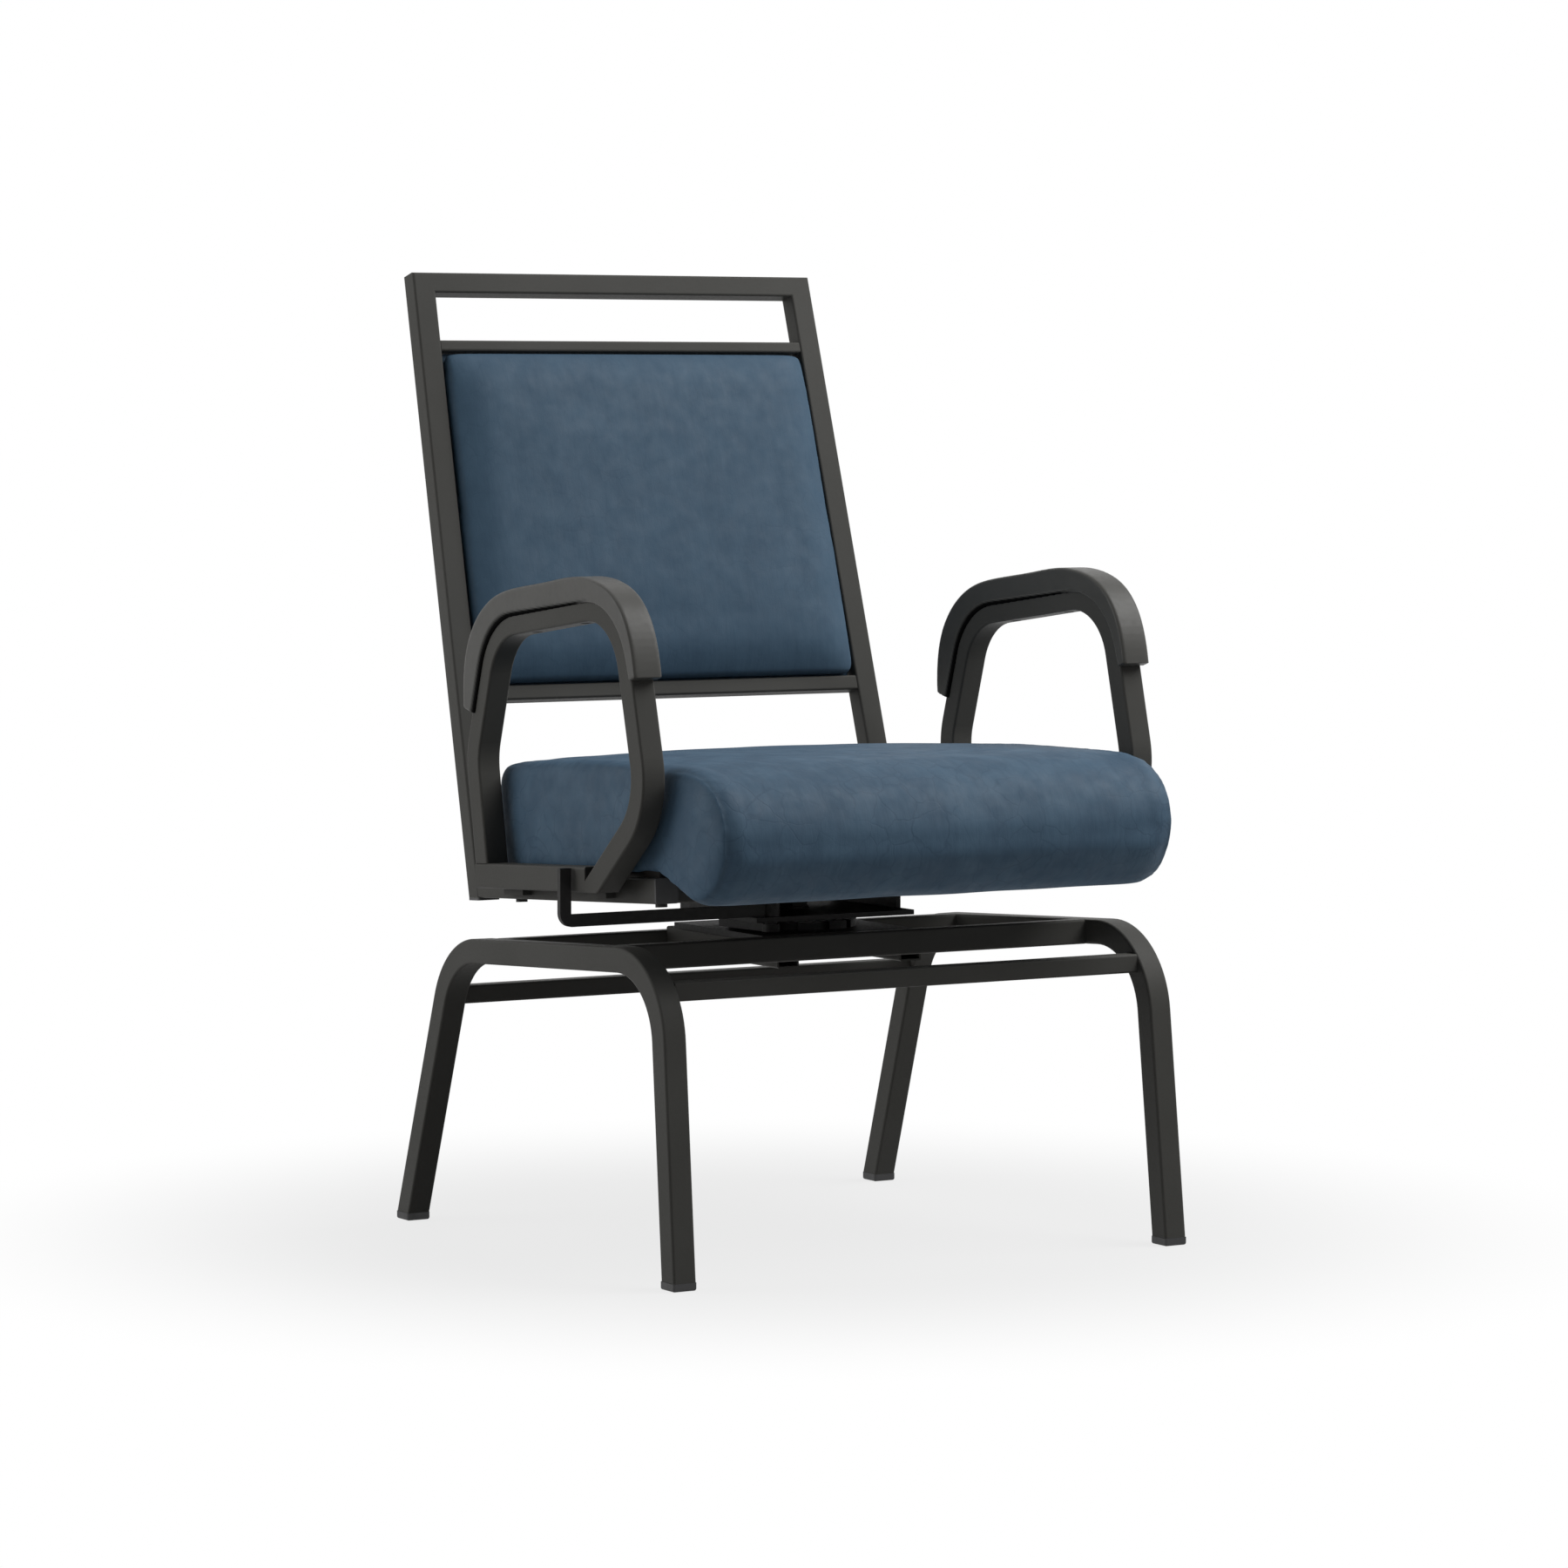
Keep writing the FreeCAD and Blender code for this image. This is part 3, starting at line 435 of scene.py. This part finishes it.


# Arm pads: integral-skin foam moulded to the bend of the arm, lapped over the tube and held by two
# screws from below. The skin is smooth and satin. A shallow groove that narrows to the front runs
# where it meets the tube, painted near black and without gloss as painted shadow in that gap.
moulded_skin, shader, place = new_finish("moulded_skin")
drift = speckle(moulded_skin, place, 18.0, 3.0)
colour = tones(moulded_skin, drift, [(0.3, (0.064, 0.063, 0.058)), (0.7, (0.076, 0.075, 0.070))])
worn = speckle(moulded_skin, place, 160.0, 3.0)
join(moulded_skin, spread(moulded_skin, worn, 0.36, 0.46), shader.inputs["Roughness"])
grain = speckle(moulded_skin, place, 1300.0, 2.0)
join(moulded_skin, raised(moulded_skin, grain, 0.08, 0.0003), shader.inputs["Normal"])
# Painted shadow: where the gap mask is 1 the colour is mixed to near black and the gloss taken away,
# standing in for the shade in the gap between pad and tube.
gap_shadow_node = add_node(moulded_skin, "ShaderNodeAttribute", {})
gap_shadow_node.attribute_name = "joint"
gap_shade = add_node(moulded_skin, "ShaderNodeMix", {})
gap_shade.data_type = "RGBA"
gap_shade.inputs["B"].default_value = (0.006, 0.006, 0.006, 1.0)
join(moulded_skin, gap_shadow_node.outputs["Fac"], gap_shade.inputs["Factor"])
join(moulded_skin, colour, gap_shade.inputs["A"])
join(moulded_skin, gap_shade.outputs["Result"], shader.inputs["Base Color"])
gap_gloss = add_node(moulded_skin, "ShaderNodeMapRange", {"To Min": 0.2, "To Max": 0.0})
join(moulded_skin, gap_shadow_node.outputs["Fac"], gap_gloss.inputs["Value"])
join(moulded_skin, gap_gloss.outputs["Result"], shader.inputs["Specular IOR Level"])


def rounded_line(points, reaches):
    """Line of straight runs with each inner corner rounded over a reach."""
    line = [points[0]]
    for before, corner, after, reach in zip(points, points[1:], points[2:], reaches):
        back_way = (before - corner).normalized() * reach
        next_way = (after - corner).normalized() * reach
        line += [corner + back_way * (1 - i / 8) ** 2 + next_way * (i / 8) ** 2 for i in range(9)]
    return line + [points[-1]]


arm_corners = [Vector((0.0751, 0.365)), Vector((0.0983, 0.497))]
arm_corners += [Vector((0.0552, 0.6307)), Vector((-0.201, 0.6622))]
arm_line = rounded_line(arm_corners, [0.018, 0.048])
arm_middle = 0.2874
gap_depth = 0.0016
for side in ("left", "right"):
    arm_pad = closed_copy(f"{side}_arm_pad", f"{side}_arm_cushion", 0.0015)
    finish_with(arm_pad, "SMOOTH", factor=0.5, iterations=2)
    # Mask of the painted gap shadow: 1 in a band along the line where pad meets tube, wider at the rear
    # and gone at the front end; the band is also pressed in by 1.6 mm.
    joint = arm_pad.data.attributes.new("joint", "FLOAT", "POINT")
    for vertex in arm_pad.data.vertices:
        place = vertex.co
        width = 0.0078 + 0.0020 * eased(place.y, -0.150, 0.040)
        edge = 1.0 - eased(line_distance(place.yz, arm_line), width, width + 0.0014)
        edge *= eased(place.y, -0.160, -0.120)
        middle = math.copysign(arm_middle, place.x)
        joint.data[vertex.index].value = edge
        place.x -= math.copysign(gap_depth, place.x - middle) * edge
    bpy.ops.object.shade_smooth()
    arm_pad.data.materials.clear()
    arm_pad.data.materials.append(moulded_skin)
    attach(arm_pad, "seat")
    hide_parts(f"{side}_arm_pad")


# Back frame: two leaning uprights mitred to a top rail, with two thin rails that leave a hand slot
# above the cushion. It has the frame's coat, and small tabs behind carry the panel.
dress(["left_back_upright", "right_back_upright", "back_top_rail"], charcoal_coat)
dress(["back_upper_rail", "back_lower_rail", "back_panel_tabs"], charcoal_coat)
dress(["back_panel_screws"], black_steel)


# Back cushion: foam on the panel under a stretched vinyl cover, drawn down all round to a border that
# sits inside the frame, so that the middle stands forward in a soft crown.
back_place = Matrix.Translation((0, 0.3319, 0.9945)) @ Matrix.Rotation(math.radians(-15.53), 4, "X")
to_back = back_place.inverted()
border_half = 0.2172
border_flare = 0.0295
border_top = 0.0875
border_middle = 0.2675
border_bottom = 0.4475
edge_slope = 0.60
pad_depth = 0.0238
crown_rise = 0.0018


def soft_least(values, blend):
    """Smallest of some values, rounded where two of them meet."""
    return -blend * math.log(sum(math.exp(-value / blend) for value in values))


def back_inset(local):
    """Distance of a place in the back's own plane from the cushion's border."""
    down = -local.z
    half = border_half + border_flare * down
    return soft_least([half - abs(local.x), down - border_top, border_bottom - down], 0.011)


def back_front(local):
    """Depth of the padded front: an even slope all round, then a nearly flat middle."""
    down = -local.z
    across = max(0.0, 1.0 - (local.x / 0.21) ** 2)
    crown = across * max(0.0, 1.0 - ((down - border_middle) / 0.17) ** 2)
    slope = 0.003 + edge_slope * max(0.0, back_inset(local) + 0.002)
    return -soft_least([slope, pad_depth], 0.0030) - crown_rise * crown


def back_slack(place):
    """Share of the draw-in: none at the border."""
    local = to_back @ place
    return eased(back_inset(local), 0.006, 0.04) * (local.y < 0.002)


def back_held(place):
    """Points of the border and of the face glued to the panel."""
    local = to_back @ place
    return local.y > 0.001 or back_inset(local) < 0.004


back_pad = closed_copy("back_cushion", "back_pad", 0.0045)
for vertex in back_pad.data.vertices:
    local = to_back @ vertex.co
    if local.y < 0.002:
        local.y = min(0.002, back_front(local))
        vertex.co = back_place @ local
finish_with(back_pad, "SMOOTH", factor=0.5, iterations=3)
slackened(back_pad, back_slack, 0.003)
swollen(back_pad, back_held, 0.0035, 60)
finish_with(back_pad, "SMOOTH", factor=0.5, iterations=8)
finish_with(back_pad, "SUBSURF", levels=1, render_levels=1)
outward = [vertex.normal.copy() for vertex in back_pad.data.vertices]
for vertex, normal in zip(back_pad.data.vertices, outward):
    dent = 0.0006 * noise.noise(vertex.co * 17.0) + 0.0002 * noise.noise(vertex.co * 48.0)
    vertex.co -= normal * dent * back_slack(vertex.co)
bpy.ops.object.shade_smooth()
plain_vinyl = slate_vinyl("seat_vinyl_plain", False, 0.5)
back_pad.data.materials.clear()
back_pad.data.materials.append(plain_vinyl)
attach(back_pad, "seat")
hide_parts("back_cushion")


# Back panel: a board wrapped in the same vinyl, with its edges folded in, screwed to the tabs from
# behind.
bpy.ops.object.select_all(action="DESELECT")
panel_size = (0.4628, 0.006, 0.3620)
panel_middle = (0, 0.015, -border_middle)
panel_taper = 0.954
bpy.ops.mesh.primitive_cube_add(size=1.0)
rear_panel = bpy.context.object
rear_panel.name = "rear_panel"
rear_panel.scale = panel_size
rear_panel.location = panel_middle
bpy.ops.object.transform_apply(location=True, rotation=False, scale=True)
for vertex in rear_panel.data.vertices:
    if vertex.co.z > -0.2:
        vertex.co.x *= panel_taper
bpy.ops.object.mode_set(mode="EDIT")
bpy.ops.mesh.select_mode(type="EDGE")
bpy.ops.mesh.select_all(action="DESELECT")
bpy.ops.object.mode_set(mode="OBJECT")
for edge in rear_panel.data.edges:
    ends = [rear_panel.data.vertices[i].co for i in edge.vertices]
    edge.select = abs(ends[0].y - ends[1].y) > 0.001
bpy.ops.object.mode_set(mode="EDIT")
bpy.ops.mesh.bevel(offset=0.0055, segments=4, affect="EDGES")
bpy.ops.object.mode_set(mode="OBJECT")
for edge in rear_panel.data.edges:
    ends = [rear_panel.data.vertices[i].co for i in edge.vertices]
    edge.select = abs(ends[0].y - ends[1].y) < 0.001 and ends[0].y > 0.017
bpy.ops.object.mode_set(mode="EDIT")
bpy.ops.mesh.bevel(offset=0.0025, segments=3, affect="EDGES")
bpy.ops.object.mode_set(mode="OBJECT")
rear_panel.data.transform(back_place)
bpy.ops.object.shade_smooth_by_angle(angle=math.radians(40))
rear_panel.data.materials.append(plain_vinyl)
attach(rear_panel, "seat")
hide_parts("back_panel")


# Lock: a flat black bar on an upright shaft, bent up into a handle beside the arm, with a steel finger
# and its tooth under the seat. A bright coil spring sits on the bar's hub.
dress(["lock_lever", "lock_shaft", "lock_pawl"], black_steel)
dress(["lock_spring"], bearing_steel)


# Studio: a white floor that runs out into a white background, a broad lamp high on the right, a weaker
# one on the left and a soft light all round that is dimmest from the camera's side. Reflections see the
# white background.
bpy.ops.object.select_all(action="DESELECT")
floor_place = (0, 0, -0.0005)
bpy.ops.mesh.primitive_circle_add(vertices=96, radius=4.0, fill_type="NGON", location=floor_place)
bpy.ops.object.transform_apply(location=True, rotation=False, scale=False)
floor = bpy.context.object
floor.name = "floor"
white_floor = bpy.data.materials.new("white_floor")
white_floor.use_nodes = True
shader = white_floor.node_tree.nodes["Principled BSDF"]
shader.inputs["Base Color"].default_value = (0.30, 0.30, 0.30, 1.0)
shader.inputs["Roughness"].default_value = 0.9
shader.inputs["Specular IOR Level"].default_value = 0.1
place = add_node(white_floor, "ShaderNodeTexCoord", {}).outputs["Object"]
reach = add_node(white_floor, "ShaderNodeVectorMath", {})
reach.operation = "LENGTH"
join(white_floor, place, reach.inputs[0])
floor_fade = {"From Min": 0.35, "From Max": 0.95, "To Min": 0.79}
fade = add_node(white_floor, "ShaderNodeMapRange", floor_fade)
fade.interpolation_type = "SMOOTHSTEP"
join(white_floor, reach.outputs["Value"], fade.inputs["Value"])
glow = add_node(white_floor, "ShaderNodeEmission", {"Strength": 1.0})
rays = add_node(white_floor, "ShaderNodeLightPath", {})
seen = rays.outputs["Is Camera Ray"]
for ray in ("Is Glossy Ray", "Is Transmission Ray"):
    either = add_node(white_floor, "ShaderNodeMath", {})
    either.operation = "MAXIMUM"
    join(white_floor, seen, either.inputs[0])
    join(white_floor, rays.outputs[ray], either.inputs[1])
    seen = either.outputs["Value"]
far = add_node(white_floor, "ShaderNodeMath", {})
far.operation = "MULTIPLY"
join(white_floor, seen, far.inputs[0])
join(white_floor, fade.outputs["Result"], far.inputs[1])
blend = add_node(white_floor, "ShaderNodeMixShader", {})
join(white_floor, far.outputs["Value"], blend.inputs["Fac"])
join(white_floor, shader.outputs["BSDF"], blend.inputs[1])
join(white_floor, glow.outputs["Emission"], blend.inputs[2])
surface = white_floor.node_tree.nodes["Material Output"].inputs["Surface"]
join(white_floor, blend.outputs["Shader"], surface)
floor.data.materials.append(white_floor)


def softbox(name, place, aim, size, power):
    """Square lamp turned to a point."""
    turn = (Vector(aim) - Vector(place)).to_track_quat("-Z", "Y")
    bpy.ops.object.light_add(type="AREA", location=place, rotation=turn.to_euler())
    lamp = bpy.context.object
    lamp.name = name
    lamp.data.size = size
    lamp.data.energy = power


softbox("key_lamp", (1.65, -1.2, 2.7), (0, 0, 0.5), 2.0, 84.0)
softbox("side_lamp", (-2.5, 1.0, 1.1), (0, 0, 0.5), 1.6, 27.0)

world = bpy.data.worlds.new("white_room")
bpy.context.scene.world = world
world.use_nodes = True
sky = world.node_tree.nodes["Background"]
sky.inputs["Color"].default_value = (1.0, 1.0, 1.0, 1.0)
way = add_node(world, "ShaderNodeTexCoord", {}).outputs["Generated"]
open_side = add_node(world, "ShaderNodeVectorMath", {})
open_side.operation = "DOT_PRODUCT"
open_side.inputs[1].default_value = (-0.5, -0.86, -0.1)
join(world, way, open_side.inputs[0])
wall_fade = {"From Min": -0.1, "From Max": 0.6, "To Min": 1.0, "To Max": 0.15}
walls = add_node(world, "ShaderNodeMapRange", wall_fade)
join(world, open_side.outputs["Value"], walls.inputs["Value"])
rays = add_node(world, "ShaderNodeLightPath", {})
room_light = 0.34
room = add_node(world, "ShaderNodeMath", {1: room_light})
room.operation = "MULTIPLY"
join(world, walls.outputs["Result"], room.inputs[0])
shown = room.outputs["Value"]
for ray in ("Is Camera Ray", "Is Glossy Ray", "Is Transmission Ray"):
    either = add_node(world, "ShaderNodeMath", {})
    either.operation = "MAXIMUM"
    join(world, shown, either.inputs[0])
    join(world, rays.outputs[ray], either.inputs[1])
    shown = either.outputs["Value"]
join(world, shown, sky.inputs["Strength"])
bpy.context.scene.view_settings.view_transform = "Standard"
